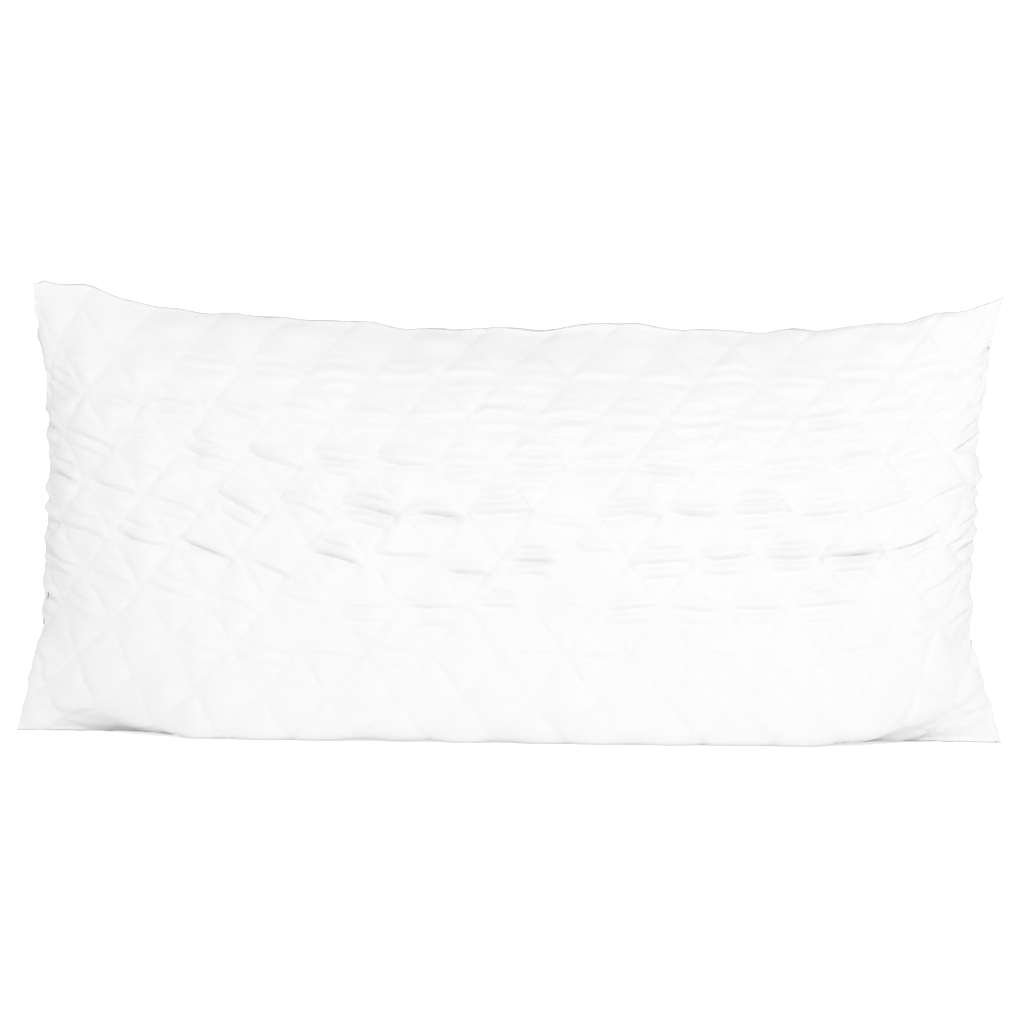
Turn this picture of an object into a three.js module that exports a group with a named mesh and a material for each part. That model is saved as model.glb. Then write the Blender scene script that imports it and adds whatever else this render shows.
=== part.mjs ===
// A king-size bed pillow in a zip-off quilted cover, standing on one long edge.
//
// Units are millimetres and +Z is up. X runs along the pillow, -Y is the front and +Y the back.
// The origin is on the floor, in the middle of the flat sole that the pillow stands on.
//
// Every soft layer is the same bent sheet, set a little further in than the one outside it:
// cover fabric, cover batting, cover lining, then the case of the insert, then the fill. A zip is
// sewn between the front and back of the cover along the +X end. It closes downwards, and its slider
// rests at the bottom.
import * as THREE from "three";

// The outline of the filled pillow, seen from the front.
const WAIST_HALF_WIDTH = 421;
const FOOT_FLARE = 27;
const SHOULDER_FLARE = 19;
const CORNER_HEIGHT = 407;
const TOP_SAG = 35;

// The section through the middle, seen from the end.
const HALF_LOFT = 85;
const BELLY_HEIGHT = 145;
const SOLE_HALF_DEPTH = 50;
const TOP_FULLNESS = 0.62;

// How the loft falls away towards the ends, and where the edges start to sweep out to the corners.
const END_FULLNESS = 4;
const END_ROUNDING = 1.7;
const FLAT_SHARE = 0.45;
const COLUMNS = 22;
const ROWS = 12;
const FLARE_ROWS = 2;

// The layers, as depths in from the outside of the cover.
const SEAM_GAP = 0.4;
const FABRIC_THICKNESS = 1.2;
const BATTING_THICKNESS = 3.4;
const LINING_THICKNESS = 0.6;
const CASE_THICKNESS = 0.9;
const LAYER_GAP = 0.45;
const INSERT_END_EASE = 8;
const HEIGHT_EASE = 0.4;

// The zip.
const SLOT_HALF_WIDTH = 7;
const ZIP_RECESS = 3;
const TAPE_THICKNESS = 0.6;
const TAPE_EDGE = 1;
const COIL_EDGE = 0.8;
const COIL_WIDTH = 2.2;
const COIL_THICKNESS = 2.2;
const ZIP_CLEARANCE = 0.35;
const CHAIN_END_MARGIN = 16;
const STOP_LENGTH = 4;

// The slider, its crown and its pull tab.
const SLIDER_LENGTH = 12;
const SLIDER_HALF_WIDTH = 4.75;
const PLATE_THICKNESS = 1.1;
const FLANGE_WIDTH = 1.15;
const POST_HALF_WIDTH = 0.4;
const CROWN_LENGTH = 8.4;
const CROWN_WIDTH = 2;
const CROWN_LEG = 1.2;
const CROWN_BAR = 1.2;
const CROWN_OPENING = 2.6;
const PULL_THICKNESS = 1.2;
const PULL_LENGTH = 27;
const PULL_HALF_WIDTH = 3.2;
const PULL_END_BAR = 1.2;
const PULL_SIDE_BAR = 1.3;
const PULL_SLOT_LENGTH = 7;
const PULL_EYE_RADIUS = 1.3;

// The care label, in rows and columns of the cover.
const LABEL_THICKNESS = 0.5;
const LABEL_ROW = 3;
const LABEL_COLUMNS = 3;

const white = (name, colour, roughness) =>
  new THREE.MeshStandardMaterial({ name, color: colour, roughness, metalness: 0 });
const FABRIC = white("quilted_fabric", 0xf7f7f6, 0.85);
const BATTING = white("batting", 0xf2f2ef, 1);
const LINING = white("lining", 0xefefec, 0.95);
const CASING = white("insert_casing", 0xf4f4f1, 0.85);
const FILL = white("fibre_fill", 0xf5f5f2, 1);
const TAPE = white("zip_tape", 0xf3f3f1, 0.9);
const COIL = white("zip_coil", 0xf5f5f3, 0.45);
const LABEL = white("care_label", 0xfafaf8, 0.7);
const METAL = new THREE.MeshStandardMaterial({
  name: "zip_metal", color: 0xd9dadb, roughness: 0.3, metalness: 0.9,
});

const pillow = new THREE.Group();

function add(name, geometry, material) {
  const mesh = new THREE.Mesh(geometry, material);
  mesh.name = name;
  pillow.add(mesh);
  return mesh;
}

// The section from the bottom seam, forward over the sole, up round the belly to the top seam.
// Its points are (distance from the middle plane, height).
const TOP_HEIGHT = CORNER_HEIGHT - TOP_SAG;
const section = new THREE.CurvePath();
section.add(new THREE.LineCurve(
  new THREE.Vector2(0, 0),
  new THREE.Vector2(SOLE_HALF_DEPTH, 0),
));
section.add(new THREE.CubicBezierCurve(
  new THREE.Vector2(SOLE_HALF_DEPTH, 0),
  new THREE.Vector2((SOLE_HALF_DEPTH + 2 * HALF_LOFT) / 3, 0),
  new THREE.Vector2(HALF_LOFT, BELLY_HEIGHT / 2),
  new THREE.Vector2(HALF_LOFT, BELLY_HEIGHT),
));
section.add(new THREE.CubicBezierCurve(
  new THREE.Vector2(HALF_LOFT, BELLY_HEIGHT),
  new THREE.Vector2(HALF_LOFT, BELLY_HEIGHT + (TOP_HEIGHT - BELLY_HEIGHT) / 2),
  new THREE.Vector2(HALF_LOFT * TOP_FULLNESS, TOP_HEIGHT - (TOP_HEIGHT - BELLY_HEIGHT) / 5),
  new THREE.Vector2(0, TOP_HEIGHT),
));

// The zip lies along the straight part of the end, between the two flares.
const ZIP_LOW = (CORNER_HEIGHT * FLARE_ROWS) / ROWS;
const ZIP_HIGH = CORNER_HEIGHT - ZIP_LOW;

function endHalfWidth(height) {
  const below = Math.max(0, (ZIP_LOW - height) / ZIP_LOW);
  const above = Math.max(0, (height - ZIP_HIGH) / ZIP_LOW);
  return WAIST_HALF_WIDTH + FOOT_FLARE * below ** 1.2 + SHOULDER_FLARE * above ** 1.5;
}

// A depth below the outside of the cover, as the shares that it leaves of each half size. The ease
// is what a layer is short of its cover at each end. It is short by less in height.
function inset(depth, endEase = 0) {
  return {
    x: 1 - (depth + endEase) / WAIST_HALF_WIDTH,
    y: 1 - depth / HALF_LOFT,
    z: 1 - (depth + endEase * HEIGHT_EASE) / BELLY_HEIGHT,
  };
}

// The place on a layer: across is -1 to 1 along the pillow, up is 0 to 1 from the bottom seam to the
// top one, side is -1 on the front and 1 on the back, and rim is the layer's distance from the middle
// plane at the seam.
function onLayer(across, up, side, share, rim) {
  const out = Math.abs(across);
  const end = Math.sign(across) * (1 - (1 - out) ** 1.6);
  const loft = (1 - Math.abs(end) ** END_FULLNESS) ** (1 / END_ROUNDING);
  const sweep = Math.max(0, (out - FLAT_SHARE) / (1 - FLAT_SHARE)) ** 2;
  const middle = section.getPointAt(up);
  const height = middle.y * (1 - sweep) + CORNER_HEIGHT * up * sweep;
  return new THREE.Vector3(
    endHalfWidth(height) * end * share.x,
    side * (middle.x * loft * share.y + rim),
    BELLY_HEIGHT + (height - BELLY_HEIGHT) * share.z,
  );
}

// How far the cover's rim stands off the middle plane: only the seam's gap, or the zip's slot.
function coverRim(across, up) {
  const rowsFromEnd = Math.min(up, 1 - up) * ROWS;
  const open = THREE.MathUtils.clamp(rowsFromEnd - FLARE_ROWS + 1, 0, 1);
  const near = Math.max(0, across) ** 6;
  return SEAM_GAP / 2 + (SLOT_HALF_WIDTH - SEAM_GAP / 2) * open * near;
}

// A box bent to a place for each of its points. a and b are -1 to 1 over its width and height, and
// face is 1 on its outer side and -1 on its inner one. The quads on both sides are split the same
// way. The split leans the other way from the column turnFrom on, and in the upper half, so that it
// points to the corners and the layers nest facet for facet.
function bentBox(columns, rows, place, turnFrom = columns / 2) {
  const points = [];
  for (const face of [1, -1]) {
    for (let row = 0; row <= rows; row++) {
      for (let column = 0; column <= columns; column++) {
        points.push(place((2 * column) / columns - 1, (2 * row) / rows - 1, face));
      }
    }
  }
  const perFace = points.length / 2;
  const outer = (column, row) => row * (columns + 1) + column;
  const inner = (column, row) => perFace + outer(column, row);
  const index = [];
  const quad = (a, b, c, d) => index.push(a, b, c, a, c, d);
  for (let row = 0; row < rows; row++) {
    for (let column = 0; column < columns; column++) {
      const corners = [[column, row], [column + 1, row], [column + 1, row + 1], [column, row + 1]];
      if (column >= turnFrom !== 2 * row >= rows) corners.push(corners.shift());
      quad(...corners.map((corner) => outer(...corner)));
      const [a, b, c, d] = corners.map((corner) => inner(...corner));
      index.push(a, c, b, a, d, c);
    }
  }
  for (let column = 0; column < columns; column++) {
    const [from, to] = [column, column + 1];
    quad(inner(from, 0), inner(to, 0), outer(to, 0), outer(from, 0));
    quad(outer(from, rows), outer(to, rows), inner(to, rows), inner(from, rows));
  }
  for (let row = 0; row < rows; row++) {
    const [from, to] = [row, row + 1];
    quad(inner(0, to), inner(0, from), outer(0, from), outer(0, to));
    quad(outer(columns, to), outer(columns, from), inner(columns, from), inner(columns, to));
  }
  const made = new THREE.BufferGeometry().setFromPoints(points);
  return made.setIndex(index);
}

// A box's width runs to +X as seen from outside, so the back's runs the other way.
function coverSheet(side, depth, thickness) {
  const outer = inset(depth);
  const inner = inset(depth + thickness);
  return bentBox(COLUMNS, ROWS, (a, b, face) => {
    const across = side < 0 ? a : -a;
    const up = (b + 1) / 2;
    return onLayer(across, up, side, face > 0 ? outer : inner, coverRim(across, up));
  });
}

// Cover: three quilted layers on each side.
const battingDepth = FABRIC_THICKNESS + LAYER_GAP;
const liningDepth = battingDepth + BATTING_THICKNESS + LAYER_GAP;
const coverDepth = liningDepth + LINING_THICKNESS;
for (const [sideName, side] of [["front", -1], ["back", 1]]) {
  add(`cover_${sideName}_fabric`, coverSheet(side, 0, FABRIC_THICKNESS), FABRIC);
  add(`cover_${sideName}_batting`, coverSheet(side, battingDepth, BATTING_THICKNESS), BATTING);
  add(`cover_${sideName}_lining`, coverSheet(side, liningDepth, LINING_THICKNESS), LINING);
}

// Insert: its case in two panels, with the fill inside. It clears the zip by its end ease.
const caseDepth = coverDepth + TAPE_THICKNESS + 2 * LAYER_GAP;
const fillDepth = caseDepth + CASE_THICKNESS + LAYER_GAP;
for (const [sideName, side] of [["front", -1], ["back", 1]]) {
  const outer = inset(caseDepth, INSERT_END_EASE);
  const inner = inset(caseDepth + CASE_THICKNESS, INSERT_END_EASE);
  add(`insert_case_${sideName}`, bentBox(COLUMNS, ROWS, (a, b, face) =>
    onLayer(side < 0 ? a : -a, (b + 1) / 2, side, face > 0 ? outer : inner, SEAM_GAP / 2),
  ), CASING);
}
const fillShare = inset(fillDepth, INSERT_END_EASE);
add("fibre_fill", bentBox(COLUMNS, ROWS, (a, b, face) =>
  onLayer(a, (b + 1) / 2, -face, fillShare, SEAM_GAP / 2),
), FILL);

// Zip tapes: sewn to the inside of the lining as far as the rim, then flat across half of the slot.
const tapeDepth = coverDepth + LAYER_GAP;
const tapeOuter = inset(tapeDepth, ZIP_RECESS);
const tapeInner = inset(tapeDepth + TAPE_THICKNESS, ZIP_RECESS);
const columnIn = 1 - 2 / COLUMNS;
for (const [sideName, side] of [["front", -1], ["back", 1]]) {
  add(`zip_tape_${sideName}`, bentBox(2, ROWS - 2 * FLARE_ROWS, (a, b, face) => {
    const up = 0.5 + b * (0.5 - FLARE_ROWS / ROWS);
    const share = face > 0 ? tapeOuter : tapeInner;
    const toCoil = side < 0 ? a : -a;
    const across = toCoil < 0 ? columnIn : 1;
    const sewn = onLayer(across, up, side, share, coverRim(across, up));
    return toCoil > 0 ? sewn.setY(side * TAPE_EDGE) : sewn;
  }, side < 0 ? 0 : 2), TAPE);
}

// The zip's stack, outward along X from the tape.
const tapeInnerX = WAIST_HALF_WIDTH * tapeInner.x;
const tapeOuterX = WAIST_HALF_WIDTH * tapeOuter.x;
const coilX = tapeOuterX + ZIP_CLEARANCE;
const topPlateX = coilX + COIL_THICKNESS + ZIP_CLEARANCE;
const backPlateX = tapeInnerX - ZIP_CLEARANCE - PLATE_THICKNESS;
const plateTopX = topPlateX + PLATE_THICKNESS;

// A flat outline in the X-Y plane, pulled up along Z from a height.
function pulledUp(shape, low, high) {
  const made = new THREE.ExtrudeGeometry(shape, {
    depth: high - low, bevelEnabled: false, curveSegments: 3,
  });
  return made.translate(0, 0, low);
}

function rectangle(lowX, lowY, highX, highY) {
  return new THREE.Shape([
    new THREE.Vector2(lowX, lowY),
    new THREE.Vector2(highX, lowY),
    new THREE.Vector2(highX, highY),
    new THREE.Vector2(lowX, highY),
  ]);
}

// Zip coils and stops. The coils run between the stops, and the closed slider meets the lower pair.
const chainLow = ZIP_LOW + CHAIN_END_MARGIN;
const chainHigh = ZIP_HIGH - CHAIN_END_MARGIN;
const chainHalfWidth = COIL_EDGE + COIL_WIDTH;
const coilHighX = coilX + COIL_THICKNESS;
const lowerStopTop = chainLow - ZIP_CLEARANCE;
for (const [sideName, side] of [["front", -1], ["back", 1]]) {
  const coil = new THREE.Shape();
  const middleY = side * (COIL_EDGE + COIL_WIDTH / 2);
  coil.absellipse(coilX + COIL_THICKNESS / 2, middleY, COIL_THICKNESS / 2, COIL_WIDTH / 2, 0, 2 * Math.PI);
  add(`zip_coil_${sideName}`, pulledUp(coil, chainLow, chainHigh), COIL);
  const [lowY, highY] = side < 0 ? [-chainHalfWidth, -COIL_EDGE] : [COIL_EDGE, chainHalfWidth];
  const stop = rectangle(coilX, lowY, coilHighX, highY);
  add(`zip_closed_stop_${sideName}`, pulledUp(stop, lowerStopTop - STOP_LENGTH, lowerStopTop), METAL);
}
const upperStopLow = chainHigh + ZIP_CLEARANCE;
add("zip_open_stop", pulledUp(
  rectangle(coilX, -chainHalfWidth, coilHighX, chainHalfWidth),
  upperStopLow,
  upperStopLow + STOP_LENGTH,
), METAL);

// Slider body: two plates on a post, with flanges that hold the coils and leave slots for the tapes.
const sliderLow = chainLow;
const sliderHigh = sliderLow + SLIDER_LENGTH;
const flangeInY = SLIDER_HALF_WIDTH - FLANGE_WIDTH;
const halfProfile = [
  [plateTopX, SLIDER_HALF_WIDTH],
  [tapeOuterX + ZIP_CLEARANCE, SLIDER_HALF_WIDTH],
  [tapeOuterX + ZIP_CLEARANCE, flangeInY],
  [topPlateX, flangeInY],
  [topPlateX, POST_HALF_WIDTH],
  [backPlateX + PLATE_THICKNESS, POST_HALF_WIDTH],
  [backPlateX + PLATE_THICKNESS, SLIDER_HALF_WIDTH],
  [backPlateX, SLIDER_HALF_WIDTH],
];
const sliderProfile = new THREE.Shape([
  ...halfProfile.map(([x, y]) => new THREE.Vector2(x, y)),
  ...halfProfile.toReversed().map(([x, y]) => new THREE.Vector2(x, -y)),
]);
add("zip_slider_body", pulledUp(sliderProfile, sliderLow, sliderHigh), METAL);

// An outline drawn in height (its first number) and distance out from an X, pulled across Y.
function pulledAcross(points, x, z, width, holes = []) {
  const shape = new THREE.Shape(points);
  shape.holes.push(...holes);
  const made = new THREE.ExtrudeGeometry(shape, {
    depth: width, bevelEnabled: false, curveSegments: 4,
  });
  made.translate(0, 0, -width / 2);
  const turn = new THREE.Matrix4().makeBasis(
    new THREE.Vector3(0, 0, 1), new THREE.Vector3(1, 0, 0), new THREE.Vector3(0, 1, 0),
  );
  return made.applyMatrix4(turn).translate(x, 0, z);
}

// Crown: the arch on the slider that the pull tab hangs from.
const sliderMiddle = (sliderLow + sliderHigh) / 2;
const archFoot = CROWN_LENGTH / 2;
const archIn = archFoot - CROWN_LEG;
const archTop = CROWN_OPENING + CROWN_BAR;
const arch = [
  [-archFoot, 0], [-archIn, 0], [-archIn, CROWN_OPENING], [archIn, CROWN_OPENING],
  [archIn, 0], [archFoot, 0], [archFoot, archTop - CROWN_BAR / 2], [archIn, archTop],
  [-archIn, archTop], [-archFoot, archTop - CROWN_BAR / 2],
].map(([z, x]) => new THREE.Vector2(z, x));
add("zip_slider_crown", pulledAcross(
  arch, plateTopX + ZIP_CLEARANCE, sliderMiddle, CROWN_WIDTH,
), METAL);

// Pull tab: hangs by its end bar inside the crown. The bar's middle is the hinge's axis.
const pullX = plateTopX + ZIP_CLEARANCE + CROWN_OPENING / 2;
const barHalf = PULL_END_BAR / 2;
const pullShape = new THREE.Shape();
const tipHalf = PULL_HALF_WIDTH * 0.8;
pullShape.moveTo(-PULL_HALF_WIDTH, barHalf);
pullShape.lineTo(-tipHalf, barHalf - PULL_LENGTH + tipHalf);
pullShape.absarc(0, barHalf - PULL_LENGTH + tipHalf, tipHalf, Math.PI, 2 * Math.PI, false);
pullShape.lineTo(PULL_HALF_WIDTH, barHalf);
const slotHalf = PULL_HALF_WIDTH - PULL_SIDE_BAR;
pullShape.holes.push(rectangle(-slotHalf, -barHalf - PULL_SLOT_LENGTH, slotHalf, -barHalf));
const eye = new THREE.Path();
eye.absarc(0, barHalf - PULL_LENGTH + tipHalf, PULL_EYE_RADIUS, 0, 2 * Math.PI, true);
pullShape.holes.push(eye);
const pullTab = new THREE.ExtrudeGeometry(pullShape, {
  depth: PULL_THICKNESS, bevelEnabled: false, curveSegments: 6,
});
pullTab.translate(0, 0, -PULL_THICKNESS / 2);
pullTab.applyMatrix4(new THREE.Matrix4().makeBasis(
  new THREE.Vector3(0, 1, 0), new THREE.Vector3(0, 0, 1), new THREE.Vector3(1, 0, 0),
));
add("zip_pull_tab", pullTab.translate(pullX, 0, sliderMiddle), METAL);

// Care label: out of the seam at the -X end and over the back of the cover, one row high.
const labelInner = inset(-LAYER_GAP);
const labelOuter = inset(-LAYER_GAP - LABEL_THICKNESS);
add("care_label", bentBox(LABEL_COLUMNS, 1, (a, b, face) => {
  const across = -1 + (LABEL_COLUMNS * (1 - a)) / COLUMNS;
  const up = (LABEL_ROW + (1 + b) / 2) / ROWS;
  return onLayer(across, up, 1, face > 0 ? labelOuter : labelInner, coverRim(across, up));
}, 0), LABEL);

export default pillow;
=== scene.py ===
import math

import bpy
import numpy as np
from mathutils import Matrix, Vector


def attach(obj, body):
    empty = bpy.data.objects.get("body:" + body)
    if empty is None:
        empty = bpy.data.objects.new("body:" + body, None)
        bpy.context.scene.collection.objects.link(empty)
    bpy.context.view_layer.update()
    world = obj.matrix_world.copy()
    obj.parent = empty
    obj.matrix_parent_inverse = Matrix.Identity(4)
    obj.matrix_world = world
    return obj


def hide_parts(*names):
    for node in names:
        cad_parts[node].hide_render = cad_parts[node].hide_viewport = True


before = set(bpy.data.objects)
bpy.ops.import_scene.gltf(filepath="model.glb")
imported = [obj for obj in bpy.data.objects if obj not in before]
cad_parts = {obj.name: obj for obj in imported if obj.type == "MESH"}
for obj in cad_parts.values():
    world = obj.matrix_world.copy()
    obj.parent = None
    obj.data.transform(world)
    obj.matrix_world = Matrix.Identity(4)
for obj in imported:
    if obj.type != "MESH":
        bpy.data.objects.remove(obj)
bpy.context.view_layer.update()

# Shapes are worked out in millimetres, and go to metres as a mesh is made.
MM = 0.001

# The cover, as it is cut and quilted.
FLAT_HALF = 457.0
FLAT_HIGH = 508.0
DIAMOND_WIDE = 2 * FLAT_HALF / 15.5
DIAMOND_HIGH = FLAT_HIGH / 5.5
CROSSING_U = 47.5
CROSSING_V = 3.5 * DIAMOND_HIGH / 2

# The filled pillow's outline and section, as in the CAD, with a little more cloth on the sole.
WAIST = 421.0
HIGH = 407.0
TOP = HIGH - 35.0
LOFT = 85.0
BELLY = 145.0
SOLE = 57.0
ZIP_SLOT = 6.6

# Each end's half width where it is drawn in, and how far its lower and upper ears flare from there.
LEFT_END = (424, 26, 16)
RIGHT_END = (418, 30, 24)
INSERT_FLARES = (27, 19)

# Where the top edge rises above its plain line or dips below it: by how much, at which x, how widely.
TOP_WAVES = ((8, -300, 85), (5, -190, 60), (6, 95, 40), (13, -398, 42), (-2.5, -60, 30))
LEFT_EAR_DROP = 8


# ---- shapes on the pillow


def bezier(a, b, c, d, t):
    """Points of a cubic curve at shares t of it."""
    a, b, c, d = (np.array(p, float) for p in (a, b, c, d))
    t = t[:, None]
    return (1 - t) ** 3 * a + 3 * (1 - t) ** 2 * t * b + 3 * (1 - t) * t**2 * c + t**3 * d


def section_table():
    """The section's (distance from the seam plane, height) at equal steps along it."""
    t = np.linspace(0, 1, 400)
    sole = np.stack([SOLE * t, 0 * t], 1)
    belly = bezier((SOLE, 0), ((SOLE + 2 * LOFT) / 3, 0), (LOFT, BELLY / 2), (LOFT, BELLY), t)
    rise = TOP - BELLY
    top = bezier((LOFT, BELLY), (LOFT, BELLY + rise / 2), (LOFT * 0.62, TOP - rise / 5), (0, TOP), t)
    path = np.concatenate([sole, belly[1:], top[1:]])
    along = np.concatenate([[0], np.cumsum(np.linalg.norm(np.diff(path, axis=0), axis=1))])
    return along / along[-1], path


def end_loft(out):
    """The share of the full loft that is left at a share out of the way to the pillow's end."""
    return np.maximum(1 - out**4, 0) ** (1 / 1.7)


def end_table():
    """How far out a column is, from 0 to 1, at equal steps along the cloth."""
    out = np.linspace(0, 1, 4001)
    steps = np.hypot(np.diff(out) * WAIST, np.diff(end_loft(out)) * LOFT)
    along = np.concatenate([[0], np.cumsum(steps)])
    return along / along[-1], out


SECTION_ALONG, SECTION_PATH = section_table()
END_ALONG, END_OUT = end_table()


def hump(x, middle, width):
    """A smooth bump from 0 to 1 and back."""
    return np.exp(-(((x - middle) / width) ** 2))


def ramp(x, start, end):
    """A rise from 0 at start to 1 at end, level outside them."""
    return np.clip((x - start) / (end - start), 0, 1)


def wobble(u, v, size, seed, stretch=1.0, waves=9):
    """Smooth noise from about -1 to 1, with features of about that size."""
    draw = np.random.RandomState(seed)
    total = np.zeros(np.broadcast(u, v).shape)
    for _ in range(waves):
        turn = draw.uniform(0, 2 * math.pi)
        length = size * draw.uniform(1.3, 3.2)
        phase = draw.uniform(0, 2 * math.pi)
        along = u * math.cos(turn) / stretch + v * math.sin(turn)
        total = total + np.sin(along * 2 * math.pi / length + phase)
    return total / math.sqrt(waves)


def half_width(height, right):
    """How far the cover's seam lies from the middle at a height, at its right or left end."""
    half, low, high = LEFT_END
    left_half = half + low * ramp(height, 96, 0) ** 0.85 + high * ramp(height, 280, HIGH) ** 1.5
    half, low, high = RIGHT_END
    right_half = half + low * ramp(height, 100, 0) ** 1.1 + high * ramp(height, 270, HIGH) ** 1.2
    drawn_in = 1.6 * wobble(height, 0, 14, 41) * ramp(height, 8, 40)
    return np.where(right, right_half + drawn_in, left_half - drawn_in)


def insert_half_width(height):
    """The insert's end stays straight along the zip, and fills only a part of the flares."""
    low, high = INSERT_FLARES
    return WAIST + low * ramp(height, 68, 0) ** 1.2 + high * ramp(height, 339, HIGH) ** 1.5


def zip_slot(across, up):
    """How far a rim stands off the seam plane beside the zip."""
    open_share = ramp(np.minimum(up, 1 - up) * 12, 1.4, 2)
    return ZIP_SLOT * open_share * np.maximum(across, 0) ** 9


def pillow_shape(u, v, side, depth=0.0, end_ease=0.0, rim=0.6):
    """Places on the pillow of points of the flat cloth. side is -1 on the front and 1 on the back,
    and depth is how far below the cover's surface they lie."""
    across = u / FLAT_HALF
    up = v / FLAT_HIGH
    out = np.abs(across)
    end = np.interp(out, END_ALONG, END_OUT)
    loft = end_loft(end)
    sweep = ramp(out, 0.45, 1) ** 2
    middle_y = np.interp(up, SECTION_ALONG, SECTION_PATH[:, 0])
    middle_z = np.interp(up, SECTION_ALONG, SECTION_PATH[:, 1])
    middle_y = middle_y * (1 - sweep) + LOFT * np.sin(math.pi * up) * sweep
    height = middle_z * (1 - sweep) + HIGH * up * sweep
    width = insert_half_width(height) if end_ease else half_width(height, across > 0)
    x = np.sign(across) * width * end
    lift = sum(rise * hump(x, middle, wide) for rise, middle, wide in TOP_WAVES)
    lift = lift - LEFT_EAR_DROP * ramp(x, -428, -440) + 1.2 * wobble(x, 0, 22, 42)
    height = height + lift * up**5
    y = side * (middle_y * loft * (1 - depth / LOFT) + rim + zip_slot(across, up))
    ease = 0.4 * end_ease
    return np.stack([
        x * (1 - (depth + end_ease) / WAIST),
        y,
        BELLY + (height - BELLY) * (1 - (depth + ease) / BELLY),
    ], -1)


def quilt_lines(u, v):
    """The two families of quilting lines, each at its function's whole numbers."""
    across = (u - CROSSING_U) / DIAMOND_WIDE
    up = (v - CROSSING_V) / DIAMOND_HIGH
    return across + up, across - up


def line_gap(u, v):
    """The distance in millimetres to the nearest quilting line."""
    slope = math.hypot(1 / DIAMOND_WIDE, 1 / DIAMOND_HIGH)
    return np.minimum(*(np.abs(line - np.round(line)) for line in quilt_lines(u, v))) / slope


def edge_gap(u, v):
    """The distance in millimetres to the cloth's nearest edge."""
    return np.minimum(FLAT_HALF - np.abs(u), np.minimum(v, FLAT_HIGH - v))


# ---- meshes


def only(obj):
    """Selects and activates this object alone, in object mode."""
    if bpy.context.mode != "OBJECT":
        bpy.ops.object.mode_set(mode="OBJECT")
    bpy.ops.object.select_all(action="DESELECT")
    obj.select_set(True)
    bpy.context.view_layer.objects.active = obj


def mesh_piece(name, points_mm, faces, uv_mm=None):
    """A new object in the scene, with the flat cloth's coordinates where they are given."""
    mesh = bpy.data.meshes.new(name)
    points = np.asarray(points_mm, float) * MM
    mesh.from_pydata(points.tolist(), [], faces)
    if uv_mm is not None:
        corner = np.zeros(len(mesh.loops), np.int32)
        mesh.loops.foreach_get("vertex_index", corner)
        layer = mesh.uv_layers.new(name="cloth")
        layer.data.foreach_set("uv", (np.asarray(uv_mm)[corner] * MM).ravel())
    obj = bpy.data.objects.new(name, mesh)
    bpy.context.scene.collection.objects.link(obj)
    return obj


def get_points(mesh):
    points = np.zeros(len(mesh.vertices) * 3)
    mesh.vertices.foreach_get("co", points)
    return points.reshape(-1, 3) / MM


def set_points(mesh, points_mm):
    mesh.vertices.foreach_set("co", (points_mm * MM).ravel())
    mesh.update()


def apply_modifier(obj, kind, **settings):
    """Adds a modifier, sets it and applies it."""
    only(obj)
    modifier = obj.modifiers.new(kind.lower(), kind)
    for key, value in settings.items():
        setattr(modifier, key, value)
    bpy.ops.object.modifier_apply(modifier=modifier.name)


def smooth(obj, degrees=None):
    only(obj)
    if degrees is None:
        bpy.ops.object.shade_smooth()
    else:
        bpy.ops.object.shade_smooth_by_angle(angle=math.radians(degrees))


def finish_piece(obj, material, body, slot, *nodes):
    """Gives a piece its material, its body and the CAD nodes it stands for. slot is not used."""
    obj.data.materials.clear()
    obj.data.materials.append(material)
    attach(obj, body)
    if nodes:
        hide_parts(*nodes)


def cloth_columns(steps):
    """Columns of the flat cloth that pass through the quilting's crossings."""
    step = DIAMOND_WIDE / (2 * steps)
    first = math.ceil((-FLAT_HALF - CROSSING_U) / step + 0.4)
    last = math.floor((FLAT_HALF - CROSSING_U) / step - 0.4)
    inside = CROSSING_U + step * np.arange(first, last + 1)
    return np.concatenate([[-FLAT_HALF], inside, [FLAT_HALF]])


def cloth_rows(steps):
    return np.linspace(0, FLAT_HIGH, 11 * steps + 1)


def grid_quads(wide, high, flip, first=0):
    """Quads over a grid of vertices that is wide across and high up."""
    low = first + (np.arange(high - 1)[:, None] * wide + np.arange(wide - 1)).ravel()
    quads = np.stack([low, low + 1, low + 1 + wide, low + wide], 1)
    return (quads[:, ::-1] if flip else quads).tolist()


def grid_border(wide, high, first=0):
    """The grid's outline as one loop of vertices, anticlockwise, without its last corner again."""
    bottom = np.arange(wide)
    right = wide - 1 + wide * np.arange(1, high)
    top = wide * (high - 1) + np.arange(wide - 2, -1, -1)
    left = wide * np.arange(high - 2, 0, -1)
    return first + np.concatenate([bottom, right, top, left])


def closed_sheet(name, outer, inner, wide, high, side, uv_mm, inner_every=1):
    """A closed sheet from two grids of points. The inner one may keep only every few of the outer
    one's columns and rows, and then each of its edges meets several of the outer's."""
    count = wide * high
    inner_wide = (wide - 1) // inner_every + 1
    inner_high = (high - 1) // inner_every + 1
    flip = side > 0
    faces = grid_quads(wide, high, flip)
    faces += grid_quads(inner_wide, inner_high, not flip, count)
    outside = grid_border(wide, high)
    inside = grid_border(inner_wide, inner_high, count)
    for number, start in enumerate(inside):
        end = inside[(number + 1) % len(inside)]
        run = [outside[(number * inner_every + k) % len(outside)] for k in range(inner_every + 1)]
        face = [start, end, *run[::-1]]
        faces.append([int(i) for i in (face[::-1] if flip else face)])
    return mesh_piece(name, np.concatenate([outer, inner]), faces, uv_mm)


# ---- camera

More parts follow.
